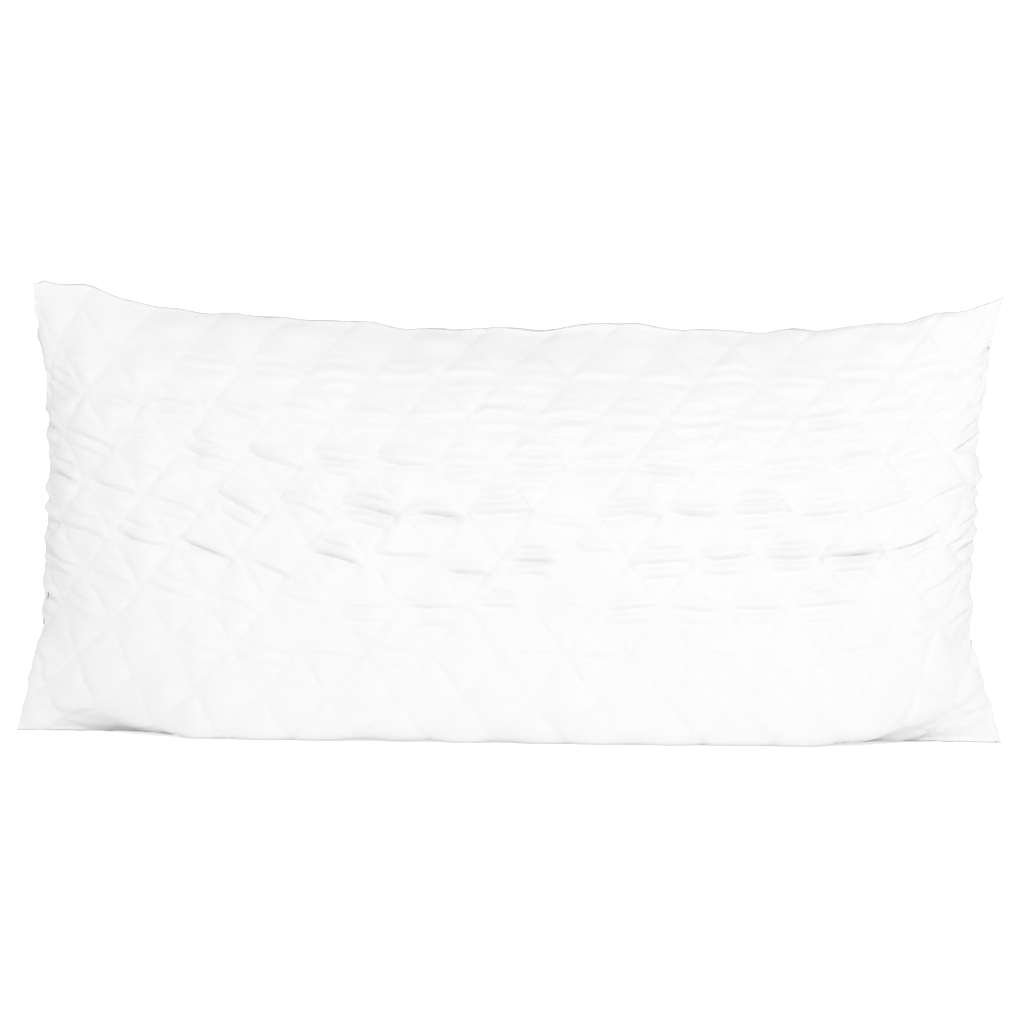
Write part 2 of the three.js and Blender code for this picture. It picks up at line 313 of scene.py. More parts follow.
CAMERA_DISTANCE = 3.0
VIEW_WIDE = 0.932
VIEW_MIDDLE = (-0.0027, 0.2047)
SENSOR_WIDE = 36
camera = bpy.data.objects.new("camera", bpy.data.cameras.new("camera"))
bpy.context.scene.collection.objects.link(camera)
bpy.context.scene.camera = camera
camera.data.sensor_width = SENSOR_WIDE
camera.data.lens = SENSOR_WIDE * CAMERA_DISTANCE / VIEW_WIDE
tilt_down = math.radians(2)
camera.location = (
    VIEW_MIDDLE[0],
    -CAMERA_DISTANCE * math.cos(tilt_down),
    VIEW_MIDDLE[1] + CAMERA_DISTANCE * math.sin(tilt_down),
)
camera.rotation_euler = (math.pi / 2 - tilt_down, math.radians(-0.75), 0)


# ---- the quilted cover

# The cloth settles on a coarse grid, and its puffs go onto a finer one that has the folds and stitches.
SETTLE_STEPS = 8
SETTLE_FRAMES = 22
PRESSURE = 6.0
PUFF_GAIN = 1.45
PANEL_STEPS_U = 11
PANEL_STEPS_V = 24
INNER_EVERY = 8

# How the layers lie in the cover. The depths are least ones, away from the cover's edges.
COVER_THICK = 1.1
BATTING_THIN = 1.2
LINING_DEPTH = 5.2
LINING_THICK = 0.5
CASE_DEPTH = 7.6
CASE_CLEAR = 1.2
CASE_THICK = 0.7
FILL_CLEAR = 0.9
LAYER_GAP = 0.35
UNDERLAY = 0.9
HEM = 2.5
END_EASE = 8.0

# Each layer side's depth at the cover's edges, and its least distance from the seam plane.
COVER_INSIDE = (1.2, 0.46)
BATTING_SIDES = ((1.6, 0.42), (5.1, 0.37))
LINING_SIDES = ((5.5, 0.33), (6.0, 0.29))
CASE_SIDES = ((7.6, 0.25), (8.3, 0.2))
FILL_OUTSIDE = (9.0, 0.15)

# The slanting hollow in the front's upper left: a place on it and the way that it runs.
HOLLOW_AT = (-245, 360)
HOLLOW_RUN = (73, -110)


def settle_cloth(obj, flat_points, pinned):
    """Lets a cloth that was cut bigger than its place puff out between its pinned lines."""
    only(obj)
    obj.shape_key_add(name="stitched")
    cut = obj.shape_key_add(name="cut_flat")
    cut.data.foreach_set("co", (flat_points * MM).ravel())
    cut.value = 0
    group = obj.vertex_groups.new(name="pinned")
    group.add([int(i) for i in np.nonzero(pinned)[0]], 1.0, "REPLACE")
    cloth = obj.modifiers.new("cloth", "CLOTH")
    settings = cloth.settings
    settings.quality = 5
    settings.mass = 0.2
    settings.tension_stiffness = 30
    settings.compression_stiffness = 30
    settings.shear_stiffness = 8
    settings.bending_stiffness = 0.03
    settings.tension_damping = 8
    settings.compression_damping = 8
    settings.shear_damping = 5
    settings.bending_damping = 0.5
    settings.air_damping = 3
    settings.vertex_group_mass = "pinned"
    settings.pin_stiffness = 1
    settings.rest_shape_key = cut
    settings.use_pressure = True
    settings.uniform_pressure_force = PRESSURE
    settings.effector_weights.gravity = 0
    cloth.collision_settings.use_collision = False
    cloth.point_cache.frame_start = 1
    cloth.point_cache.frame_end = SETTLE_FRAMES
    scene = bpy.context.scene
    for number in range(1, SETTLE_FRAMES + 1):
        scene.frame_set(number)
    graph = bpy.context.evaluated_depsgraph_get()
    settled = bpy.data.meshes.new_from_object(obj.evaluated_get(graph))
    points = get_points(settled)
    scene.frame_set(1)
    return points


def vertex_normals(mesh, count):
    """The normals of the mesh's first vertices."""
    normals = np.zeros(len(mesh.vertices) * 3)
    mesh.vertices.foreach_get("normal", normals)
    return normals.reshape(-1, 3)[:count]


def settled_puffs(side, seed):
    """How far each point of a coarse grid of the cover stands off the pillow's plain shape."""
    columns = cloth_columns(SETTLE_STEPS)
    rows = cloth_rows(SETTLE_STEPS)
    u, v = (grid.ravel() for grid in np.meshgrid(columns, rows))
    plain = pillow_shape(u, v, side)
    faces = grid_quads(len(columns), len(rows), side > 0)
    cloth = mesh_piece("settling_cloth", plain, faces)
    normals = vertex_normals(cloth.data, len(u))
    first, second = quilt_lines(u, v)
    middle = np.abs(np.sin(math.pi * first) * np.sin(math.pi * second)) ** 0.75
    puff = middle * ramp(edge_gap(u, v), 0, 12)
    lumps = 1.2 + 0.6 * wobble(u, v, 30, seed)
    set_points(cloth.data, plain + normals * (puff * lumps)[:, None])
    pinned = (edge_gap(u, v) < 0.01) | (line_gap(u, v) < 0.01)
    settled = settle_cloth(cloth, np.stack([u, 0 * u, v], 1), pinned)
    bpy.data.objects.remove(cloth, do_unlink=True)
    return columns, rows, (settled - plain).reshape(len(rows), len(columns), 3)


def resampled(values, columns, rows, new_columns, new_rows):
    """A grid of values, read at other columns and rows."""
    wide = np.stack([
        np.stack([np.interp(new_columns, columns, line[:, axis]) for axis in range(3)], -1)
        for line in values
    ])
    return np.stack([
        np.stack([np.interp(new_rows, rows, wide[:, column, axis]) for axis in range(3)], -1)
        for column in range(len(new_columns))
    ], 1)


def softened(values, times):
    """The grid of values with each one averaged with its neighbours. The border stays."""
    values = values.copy()
    for _ in range(times):
        for axis in (0, 1):
            moved = np.moveaxis(values, axis, 0)
            moved[1:-1] = (moved[:-2] + 2 * moved[1:-1] + moved[2:]) / 4
    return values


def smallest_near(values, reach):
    """Each value's smallest neighbour within reach rows and columns."""
    least = values.copy()
    for axis in (0, 1):
        source = least.copy()
        for shift in range(1, reach + 1):
            for sign in (shift, -shift):
                least = np.minimum(least, np.roll(source, sign, axis))
    return least


def crease_height(u, v, seed):
    """Folds across the diamonds, where the cloth is pressed together from above. Each has a steep
    side that faces down, a longer one below it, and a roll above it."""
    first, second = quilt_lines(u, v)
    p = np.floor(first)
    q = np.floor(second)
    a = first - p - 0.5
    b = second - q - 0.5
    x = (a + b) / 2 * DIAMOND_WIDE
    y = (a - b) / 2 * DIAMOND_HIGH
    middle_u = u - x
    middle_v = v - y
    draw = np.random.RandomState(seed).rand(48, 48, 9)
    chance = draw[p.astype(int) % 48, q.astype(int) % 48]
    pressed = ramp(middle_v, 110, 235) * ramp(middle_v, 470, 400)
    pressed = pressed * (0.55 + 0.75 * hump(middle_v, 285, 65) * ramp(middle_u, -330, -120))
    pressed = pressed * (1 - 0.35 * ramp(middle_u, 330, 440)) * ramp(edge_gap(u, v), 0, 14)
    leaning = -0.42 * hump(middle_u, -235, 95) * hump(middle_v, 290, 120)
    leaning = leaning + 0.32 * ramp(middle_u, 320, 430) - 0.2 * ramp(middle_u, -370, -440)
    tilt = leaning + 0.2 * (chance[..., 1] - 0.5)
    arch = 0.012 * (chance[..., 3] - 0.62)
    total = 0
    for place, share, keep in ((0, 1.0, 0.06), (1, 0.66, 0.4), (2, 0.55, 0.52)):
        lower = (0, -12 - 5 * chance[..., 5], 11 + 6 * chance[..., 6])[place]
        line = lower + 7 * (chance[..., 2] - 0.5) + tilt * x + arch * x**2
        half_long = (19 + 8 * chance[..., 4]) * (1 - np.abs(lower) / 46)
        off = y - line
        groove = np.where(off > 0, np.exp(-(off / 2.3) ** 2), np.exp(-(np.abs(off) / 6.0) ** 1.5))
        roll = 0.42 * hump(off, 6.0, 4.0)
        strength = share * (0.45 + 0.75 * chance[..., 0]) * (chance[..., 6 + place] > keep)
        total = total + strength * (roll - groove) * np.exp(-((x / half_long) ** 4))
    return 7.0 * pressed * total


def cloth_relief(u, v, side, seed):
    """Everything finer than the settled puffs, as a height off the cloth."""
    gap = line_gap(u, v)
    edge = edge_gap(u, v)
    side_edge = FLAT_HALF - np.abs(u)
    long_edge = np.minimum(v, FLAT_HIGH - v)
    inside = ramp(edge, 0, 7) * ramp(np.hypot(side_edge, long_edge), 16, 60)
    relief = -0.7 * np.exp(-((gap / 2.2) ** 2)) * ramp(edge, 0, 3)
    relief = relief + crease_height(u, v, seed)
    between = ramp(gap, 0, 7)
    middle = ramp(v, 90, 220) * ramp(v, 490, 400)
    relief = relief + 0.6 * between * middle * wobble(u, v, 6.5, seed + 1, 3.2, 24)
    relief = relief + 0.8 * between * wobble(u, v, 22, seed + 2, 1.5, 18)
    relief = relief + 2.4 * inside * wobble(u, v, 90, seed + 3, 1.4, 14)
    gathers = wobble(u, v, 9, seed + 4, 5, 24) * np.exp(-side_edge / 26)
    relief = relief + 2.4 * inside * gathers
    gathers = wobble(v, u, 9, seed + 5, 4, 24) * np.exp(-long_edge / 15)
    relief = relief + 0.9 * inside * gathers
    if side < 0:
        run_u, run_v = HOLLOW_RUN
        aside = (v - HOLLOW_AT[1]) * run_u - (u - HOLLOW_AT[0]) * run_v
        slant = aside / math.hypot(run_u, run_v)
        along = ramp(v, 215, 265) * ramp(v, 385, 345)
        relief = relief - 3.2 * along * np.exp(-((slant / 7) ** 2))
    return relief


def panel_columns():
    """The panel's columns, with more at the ends until they divide evenly."""
    columns = cloth_columns(PANEL_STEPS_U)
    while (len(columns) - 1) % INNER_EVERY:
        gaps = np.diff(columns)
        at = 0 if gaps[0] >= gaps[-1] else len(gaps) - 1
        columns = np.insert(columns, at + 1, (columns[at] + columns[at + 1]) / 2)
    return columns


class Panel:
    """One side of the quilted cover, and what lies in and on it."""

    def __init__(self, side, seed):
        self.side = side
        self.name = "front" if side < 0 else "back"
        self.columns = panel_columns()
        self.rows = cloth_rows(PANEL_STEPS_V)
        self.u, self.v = np.meshgrid(self.columns, self.rows)
        wide, high = len(self.columns), len(self.rows)
        plain = pillow_shape(self.u, self.v, side)
        coarse_columns, coarse_rows, puffs = settled_puffs(side, seed)
        puffs = resampled(puffs, coarse_columns, coarse_rows, self.columns, self.rows)
        plain_piece = mesh_piece(
            "plain", plain.reshape(-1, 3), grid_quads(wide, high, side > 0),
        )
        normals = vertex_normals(plain_piece.data, wide * high).reshape(plain.shape)
        bpy.data.objects.remove(plain_piece, do_unlink=True)
        puffs = PUFF_GAIN * softened(puffs, 2)
        relief = cloth_relief(self.u, self.v, side, seed)
        self.points = plain + puffs + normals * relief[..., None]
        self.points[..., 2] = np.maximum(self.points[..., 2], 0.1)
        self.keep_off_seam()
        self.height = ((self.points - plain) * normals).sum(-1)
        self.normals = normals
        self.inner_u = self.u[::INNER_EVERY, ::INNER_EVERY]
        self.inner_v = self.v[::INNER_EVERY, ::INNER_EVERY]
        lowest = smallest_near(self.height, INNER_EVERY)
        self.inner_depth = COVER_THICK - lowest[::INNER_EVERY, ::INNER_EVERY]

    def keep_off_seam(self):
        """Holds the cloth on its own side of the seam plane."""
        distance = self.side * self.points[..., 1]
        self.points[..., 1] = self.side * np.maximum(distance, 0.7)

    def sample(self, values, u, v):
        """Values of the panel's grid at places of the flat cloth."""
        column = np.interp(u, self.columns, np.arange(len(self.columns)))
        row = np.interp(v, self.rows, np.arange(len(self.rows)))
        i = np.minimum(column.astype(int), len(self.columns) - 2)
        j = np.minimum(row.astype(int), len(self.rows) - 2)
        s = (column - i)[:, None]
        t = (row - j)[:, None]
        low = values[j, i] * (1 - s) + values[j, i + 1] * s
        high = values[j + 1, i] * (1 - s) + values[j + 1, i + 1] * s
        return low * (1 - t) + high * t

    def under(self, depth, edge, end_ease=0.0):
        """Places under the cover. edge is how deep they lie at the cover's edges and how far they
        stay off the seam plane, and depth how deep they lie in between."""
        plain_depth, rim = edge
        u = self.inner_u * (1 - HEM / FLAT_HALF)
        v = HEM + self.inner_v * (1 - 2 * HEM / FLAT_HIGH)
        points = pillow_shape(u, v, self.side, plain_depth, end_ease, rim)
        lift = plain_depth - depth
        lift = np.minimum(lift, lift * ramp(edge_gap(self.inner_u, self.inner_v), 0, 14))
        points = points + self.normals[::INNER_EVERY, ::INNER_EVERY] * lift[..., None]
        points[..., 1] = self.side * np.maximum(self.side * points[..., 1] - UNDERLAY, rim)
        points[..., 2] = np.maximum(points[..., 2], 0.3 + plain_depth / 4)
        return points

    def cover(self):
        """The fabric, as a closed sheet whose inner side is coarser than its outer one."""
        inner = self.under(self.inner_depth, COVER_INSIDE)
        uv = np.concatenate([
            np.stack([self.u.ravel(), self.v.ravel()], 1),
            np.stack([self.inner_u.ravel(), self.inner_v.ravel()], 1),
        ])
        return closed_sheet(
            f"quilted_cover_{self.name}", self.points.reshape(-1, 3), inner.reshape(-1, 3),
            len(self.columns), len(self.rows), self.side, uv, INNER_EVERY,
        )

    def layer(self, name, outer, inner):
        """A closed layer between two grids of places under the cover."""
        uv = np.stack([self.inner_u.ravel(), self.inner_v.ravel()], 1)
        layer = closed_sheet(
            name, outer.reshape(-1, 3), inner.reshape(-1, 3),
            outer.shape[1], outer.shape[0], self.side, np.concatenate([uv, uv]),
        )
        smooth(layer)
        return layer

    def layers(self):
        """The outer and inner sides of the batting, the lining and the insert's case, and the
        outside of its fill, each clear of the one outside it even where the cover is drawn in."""
        batting = self.inner_depth + LAYER_GAP
        lining = np.maximum(batting + BATTING_THIN, LINING_DEPTH) + LAYER_GAP
        case = np.maximum(lining + LINING_THICK + CASE_CLEAR, CASE_DEPTH)
        fill = case + CASE_THICK + LAYER_GAP + FILL_CLEAR
        return {
            "batting": (
                self.under(batting, BATTING_SIDES[0]),
                self.under(lining - LAYER_GAP, BATTING_SIDES[1]),
            ),
            "lining": (
                self.under(lining, LINING_SIDES[0]),
                self.under(lining + LINING_THICK, LINING_SIDES[1]),
            ),
            "case": (
                self.under(case, CASE_SIDES[0], END_EASE),
                self.under(case + CASE_THICK, CASE_SIDES[1], END_EASE),
            ),
            "fill": self.under(fill, FILL_OUTSIDE, END_EASE),
        }


# ---- materials


class Value:
    """A socket that Python's arithmetic adds Math nodes to."""

    def __init__(self, nodes, socket):
        self.nodes = nodes
        self.socket = socket

    def math(self, operation, *others):
        return self.nodes.make("ShaderNodeMath", {"operation": operation}, self, *others)

    def __add__(self, other):
        return self.math("ADD", other)

    def __radd__(self, other):
        return self + other

    def __mul__(self, other):
        return self.math("MULTIPLY", other)

    def __rmul__(self, other):
        return self * other

    def __sub__(self, other):
        return self.math("SUBTRACT", other)

    def __rsub__(self, other):
        return self * -1 + other


class Finish:
    """A material under construction: its nodes, its shader and what its surface is made of."""

    def __init__(self, name, **constants):
        self.material = bpy.data.materials.new(name)
        self.material.use_nodes = True
        self.tree = self.material.node_tree
        self.shader = self.tree.nodes["Principled BSDF"]
        for key, value in constants.items():
            self.shader.inputs[key.replace("_", " ")].default_value = value

    def make(self, kind, settings=None, *inputs, output=0, **named):
        """Adds a node of that kind, with its settings first and then its sockets' values or links."""
        node = self.tree.nodes.new(kind)
        for key, value in (settings or {}).items():
            setattr(node, key, value)
        for socket, value in [*enumerate(inputs), *named.items()]:
            key = socket if isinstance(socket, int) else socket.replace("_", " ")
            self.give(node.inputs[key], value)
        return Value(self, node.outputs[output])

    def give(self, target, value):
        if isinstance(value, Value):
            self.tree.links.new(value.socket, target)
        else:
            target.default_value = value

    def set(self, name, value):
        self.give(self.shader.inputs[name], value)

    def cloth(self):
        """The flat cloth's coordinates, in metres."""
        return self.make("ShaderNodeUVMap", {"uv_map": "cloth"})

    def place(self):
        return self.make("ShaderNodeTexCoord", output="Object")

    def along(self, vector, axis):
        return self.make("ShaderNodeSeparateXYZ", None, vector, output=axis)

    def noise(self, vector, scale, detail=2.0, rough=0.5):
        return self.make(
            "ShaderNodeTexNoise", None, Vector=vector, Scale=scale, Detail=detail, Roughness=rough,
        )

    def between(self, share, low, high):
        """A colour from low to high, as a share from 0 to 1 says."""
        node = self.tree.nodes.new("ShaderNodeMix")
        node.data_type = "RGBA"
        self.give(node.inputs["Factor"], share)
        colours = [socket for socket in node.inputs if socket.type == "RGBA"]
        colours[0].default_value = (*low, 1)
        colours[1].default_value = (*high, 1)
        made = [socket for socket in node.outputs if socket.type == "RGBA"]
        return Value(self, made[0])

    def bump(self, height, metres, strength=1.0):
        node = self.tree.nodes.new("ShaderNodeBump")
        node.inputs["Strength"].default_value = strength
        node.inputs["Distance"].default_value = metres
        self.give(node.inputs["Height"], height)
        self.tree.links.new(node.outputs["Normal"], self.shader.inputs["Normal"])


def woven(finish, pitch, cloth, twill=False):
    """A weave's height from 0 to 1, from threads of that pitch in metres."""
    turns = 2 * math.pi / pitch
    across = finish.along(cloth, 0) * turns
    up = finish.along(cloth, 1) * turns
    if twill:
        return (across + up).math("SINE") * 0.5 + 0.5
    return across.math("SINE") * up.math("SINE") * 0.5 + 0.5


def fabric(name, low, high, roughness, pitch, depth, mottle=9.0, sheen=0.15, twill=False):
    """A woven cloth with a little variation in its colour and its nap."""
    finish = Finish(name, Sheen_Weight=sheen, Sheen_Roughness=0.5, Specular_IOR_Level=0.2)
    cloth = finish.cloth()
    patches = finish.noise(cloth, mottle, 4, 0.6)
    fuzz = finish.noise(cloth, 2600, 3, 0.6)
    weave = woven(finish, pitch, cloth, twill)
    finish.set("Base Color", finish.between(patches * 0.6 + fuzz * 0.25 + weave * 0.15, low, high))
    finish.set("Roughness", roughness + patches * 0.08 - fuzz * 0.04)
    finish.bump(weave * 0.6 + fuzz * 0.6, depth)
    return finish.material


def fibre(name, low, high):
    """Loose white fibre: stretched tangled strands, matt and soft."""
    finish = Finish(name, Sheen_Weight=0.1, Sheen_Roughness=0.6, Specular_IOR_Level=0.15)
    place = finish.place()
    clumps = finish.noise(place, 55, 5, 0.65)
    stretched = finish.make("ShaderNodeMapping", None, Vector=place, Scale=(1, 6, 2.5))
    strands = finish.noise(stretched, 420, 6, 0.7)
    finish.set("Base Color", finish.between(clumps * 0.6 + strands * 0.4, low, high))
    finish.set("Roughness", 0.95 - strands * 0.08)
    finish.bump(clumps * 0.7 + strands * 0.5, 0.0008)
    return finish.material


def metal(name):
    """Nickel plate with fine brushing and a few dull patches."""
    finish = Finish(name, Metallic=1.0)
    place = finish.place()
    stretched = finish.make("ShaderNodeMapping", None, Vector=place, Scale=(1, 1, 0.12))
    brushing = finish.noise(stretched, 5200, 3, 0.6)
    dull = finish.noise(place, 260, 4, 0.55)
    finish.set("Base Color", finish.between(dull, (0.70, 0.71, 0.72), (0.84, 0.85, 0.86)))
    finish.set("Roughness", 0.2 + dull * 0.18 + brushing * 0.1)
    finish.bump(brushing, 0.00002)
    return finish.material


def nylon(name):
    """The zip's coil: a smooth, slightly glossy filament."""
    finish = Finish(name, Specular_IOR_Level=0.5)
    place = finish.place()
    cloudy = finish.noise(place, 900, 3, 0.5)
    finish.set("Base Color", finish.between(cloudy, (0.80, 0.80, 0.79), (0.88, 0.88, 0.87)))
    finish.set("Roughness", 0.32 + cloudy * 0.12)
    finish.bump(cloudy, 0.00003)
    return finish.material


MICROFIBRE = fabric(
    "quilted_microfibre", (0.86, 0.86, 0.857), (0.93, 0.93, 0.927), 0.82, 0.0006, 0.00006,
)
THREAD = fabric("quilting_thread", (0.87, 0.87, 0.865), (0.93, 0.93, 0.925), 0.6, 0.0004, 0.00004)
BATTING = fibre("batting_fibre", (0.78, 0.78, 0.76), (0.88, 0.88, 0.865))
LINING = fabric("lining_nonwoven", (0.78, 0.78, 0.77), (0.86, 0.86, 0.85), 0.9, 0.0016, 0.00012)
CASING = fabric("insert_cotton", (0.82, 0.82, 0.81), (0.89, 0.89, 0.88), 0.85, 0.0007, 0.00007)
FILL = fibre("fill_fibre", (0.82, 0.82, 0.81), (0.92, 0.92, 0.91))
TAPE = fabric(
    "zip_tape_twill", (0.76, 0.76, 0.75), (0.86, 0.86, 0.85), 0.8, 0.0011, 0.00016, twill=True,
)
LABEL = fabric("label_satin", (0.88, 0.88, 0.875), (0.94, 0.94, 0.935), 0.45, 0.0005, 0.00003)
COIL = nylon("zip_coil_nylon")
METAL = metal("zip_nickel")

# ---- the cover's panels, the layers in them and the insert

panels = [Panel(-1, 3), Panel(1, 57)]
for panel in panels:
    cover = panel.cover()
    smooth(cover)
    finish_piece(cover, MICROFIBRE, "pillow", "quilted_fabric", f"cover_{panel.name}_fabric")
    layers = panel.layers()
    batting = panel.layer(f"batting_{panel.name}", *layers["batting"])
    finish_piece(batting, BATTING, "pillow", "batting", f"cover_{panel.name}_batting")
    lining = panel.layer(f"lining_{panel.name}", *layers["lining"])
    finish_piece(lining, LINING, "pillow", "lining", f"cover_{panel.name}_lining")
    case = panel.layer(f"insert_case_panel_{panel.name}", *layers["case"])
    finish_piece(case, CASING, "pillow", "insert_casing", f"insert_case_{panel.name}")

front, back = (panel.layers()["fill"] for panel in panels)
fill = panels[0].layer("loose_fibre_fill", front, back)
finish_piece(fill, FILL, "pillow", "fibre_fill", "fibre_fill")

# ---- stitching


def stitch_shape(length, thick):
    """One stitch along X, a little arched: rings of (x, y, z) and the faces over them."""
    rings = [(-0.5, 0.55, -0.5), (-0.32, 1, 0.1), (0.32, 1, 0.1), (0.5, 0.55, -0.5)]
    points = []
    for along, wide, up in rings:
        for y, z in ((1, 0), (0, 1), (-1, 0), (0, -1)):
            points.append((along * length, y * wide * thick / 2, (up + z * wide) * thick / 2))
    faces = [(3, 2, 1, 0), (12, 13, 14, 15)]
    for ring in range(3):
        for corner in range(4):
            a = 4 * ring + corner
            b = 4 * ring + (corner + 1) % 4
            faces.append((a, b, b + 4, a + 4))
    return np.array(points), np.array(faces)


def stitches(name, middles, alongs, outs, length, thick):
    """Copies of one stitch at the middles, each pointing along and standing out as given."""
    points, faces = stitch_shape(length, thick)
    alongs = alongs / np.linalg.norm(alongs, axis=1, keepdims=True)
    asides = np.cross(outs, alongs)
    asides = asides / np.linalg.norm(asides, axis=1, keepdims=True)
    outs = np.cross(alongs, asides)
    placed = (
        middles[:, None]
        + points[None, :, 0, None] * alongs[:, None]
        + points[None, :, 1, None] * asides[:, None]
        + points[None, :, 2, None] * outs[:, None]
    )
    count = len(middles)
    all_faces = (faces[None] + len(points) * np.arange(count)[:, None, None]).reshape(-1, 4)
    uv = np.stack([np.repeat(np.arange(count) * 0.7, len(points)), placed[..., 2].ravel()], 1)
    obj = mesh_piece(name, placed.reshape(-1, 3), all_faces.tolist(), uv)
    smooth(obj, 60)
    return obj


STITCH_EVERY = 3.0
QUILT_STITCH = (2.4, 0.36)
SEAM_STITCH = (1.7, 0.4)
MOST_LINES = 16


def quilting_thread(panel):
    """The quilting's stitches, along both families of lines."""
    lean = DIAMOND_WIDE / DIAMOND_HIGH
    step = STITCH_EVERY / math.hypot(1, lean)
    places = []
    for way in (1, -1):
        for number in range(-MOST_LINES, MOST_LINES + 1):
            v = np.arange(step / 2, FLAT_HIGH, step)
            u = CROSSING_U + DIAMOND_WIDE * number - way * lean * (v - CROSSING_V)
            inside = edge_gap(u, v) > 4
            places.append(np.stack([u, v, np.full(len(v), -way * lean)], 1)[inside])
    u, v, slope = np.concatenate(places).T
    reach = QUILT_STITCH[0] / 2 / math.hypot(1, lean)
    start = panel.sample(panel.points, u - slope * reach, v - reach)
    end = panel.sample(panel.points, u + slope * reach, v + reach)
    outs = panel.sample(panel.normals, u, v)
    middles = (start + end) / 2 + 0.05 * outs
    return stitches(f"quilting_thread_{panel.name}", middles, end - start, outs, *QUILT_STITCH)


def seam_thread():
    """The closing seam's stitches, across the valley between front and back, except at the zip."""
    bottom = np.arange(-FLAT_HALF + 4, FLAT_HALF - 4, STITCH_EVERY)
    sides = np.arange(4, FLAT_HIGH - 4, STITCH_EVERY)
    plain = sides[np.minimum(sides, FLAT_HIGH - sides) < 40]
    runs = [
        np.stack([bottom, 0 * bottom], 1),
        np.stack([0 * plain + FLAT_HALF, plain], 1),
        np.stack([bottom[::-1], 0 * bottom + FLAT_HIGH], 1),
        np.stack([0 * sides - FLAT_HALF, sides[::-1]], 1),
    ]
    middles = []
    outs = []
    for run in runs:
        points = pillow_shape(run[:, 0], run[:, 1], 1, rim=0) * (1, 0, 1)
        run_on = np.gradient(points, axis=0)
        out = np.cross(run_on, (0, 1, 0))
        out = -out / np.linalg.norm(out, axis=1, keepdims=True)
        middles.append(points - 0.5 * out)
        outs.append(out)
    outs = np.concatenate(outs)
    middles = np.concatenate(middles)
    middles[:, 2] = np.maximum(middles[:, 2], 0.45)
    across = np.tile((0.35, 1.0, 0.0), (len(middles), 1))
    across = across - outs * (across * outs).sum(1, keepdims=True)
    return stitches("seam_thread", middles, across, outs, *SEAM_STITCH)


for panel in panels:
    finish_piece(quilting_thread(panel), THREAD, "pillow", "quilted_fabric")
finish_piece(seam_thread(), THREAD, "pillow", "quilted_fabric")

# ---- the zip

TAPE_X = 411.2
TAPE_LOW = 57.6
TAPE_HIGH = 328.6
TAPE_THICK = 0.5
TAPE_DEPTH = 7.0
COIL_PITCH = 1.3
FILAMENT = 0.55
COIL_MIDDLE = (412.9, 1.7)
COIL_HALF = (0.82, 0.92)
COIL_LOW = 84.2
COIL_HIGH = 322.9


def tape(side):
    """A zip tape: sewn under the lining, then flat across its half of the slot."""
    rows = np.linspace(TAPE_LOW, TAPE_HIGH, 73)
    sewn = np.array([424.0, 431, 438, 445, 451, FLAT_HALF])
    flat = np.array([6.0, 4.6, 3.2, 1.9, 1.0])
    lines = []
    for height in rows:
        v = FLAT_HIGH * height / HIGH
        under = pillow_shape(sewn, np.full(len(sewn), v), side, TAPE_DEPTH, rim=0.5)
        ripple = 0.05 * math.sin(height / 7)
        x = np.concatenate([np.minimum(under[:, 0], TAPE_X - 0.1), [TAPE_X] * len(flat)])
        distance = np.concatenate([np.abs(under[:, 1]), flat])
        lines.append(np.stack([x + ripple * (distance > 5), side * distance, 0 * x + height], 1))
    outer = np.array(lines)
    bend = np.gradient(outer, axis=1)
    out = np.cross(bend, (0, 0, 1)) * side
    out = out / np.linalg.norm(out, axis=2, keepdims=True)
    out = out * np.where(out[..., :1] < 0, -1, 1)
    inner = outer - TAPE_THICK * out
    wide, high = outer.shape[1], outer.shape[0]
    halfway = outer[high // 2]
    along = np.concatenate([[0], np.cumsum(np.linalg.norm(np.diff(halfway, axis=0), axis=1))])
    uv = np.stack([np.tile(along, high), np.repeat(rows, wide)], 1)
    name = "front" if side < 0 else "back"
    obj = closed_sheet(
        f"woven_tape_{name}", outer.reshape(-1, 3), inner.reshape(-1, 3),
        wide, high, side, np.concatenate([uv, uv]),
    )
    smooth(obj)
    return obj


def tube(name, path, radius, sides, aside):
    """A tube round a path, closed at both ends. aside is a direction that it never runs along."""
    run = np.gradient(path, axis=0)
    run = run / np.linalg.norm(run, axis=1, keepdims=True)
    across = np.cross(run, aside)
    across = across / np.linalg.norm(across, axis=1, keepdims=True)
    up = np.cross(run, across)
    turn = 2 * math.pi * np.arange(sides) / sides
    points = (
        path[:, None]
        + radius * np.cos(turn)[None, :, None] * across[:, None]
        + radius * np.sin(turn)[None, :, None] * up[:, None]
    )
    rings = sides * np.arange(len(path) - 1)[:, None]
    corner = np.arange(sides)
    after = (corner + 1) % sides
    faces = np.stack(
        [rings + corner, rings + after, rings + sides + after, rings + sides + corner], -1,
    ).reshape(-1, 4).tolist()
    faces.append(list(range(sides))[::-1])
    faces.append([sides * (len(path) - 1) + k for k in range(sides)])
    obj = mesh_piece(name, points.reshape(-1, 3), faces)
    smooth(obj, 50)
    return obj


def coil(side):
    """One half of the zip's chain: a filament wound in flattened turns along the tape's edge."""
    turns = int((COIL_HIGH - COIL_LOW) / COIL_PITCH)
    angle = np.linspace(0, 2 * math.pi * turns, 14 * turns + 1)
    x = COIL_MIDDLE[0] + COIL_HALF[0] * np.sign(np.cos(angle)) * np.abs(np.cos(angle)) ** 0.8
    y = side * (COIL_MIDDLE[1] + COIL_HALF[1] * np.sin(angle))
    shift = COIL_PITCH / 2 if side > 0 else 0
    z = COIL_LOW + shift / 2 + COIL_PITCH * angle / (2 * math.pi)
    name = "front" if side < 0 else "back"
    return tube(f"nylon_coil_{name}", np.stack([x, y, z], 1), FILAMENT / 2, 6, (0, 0, 1))


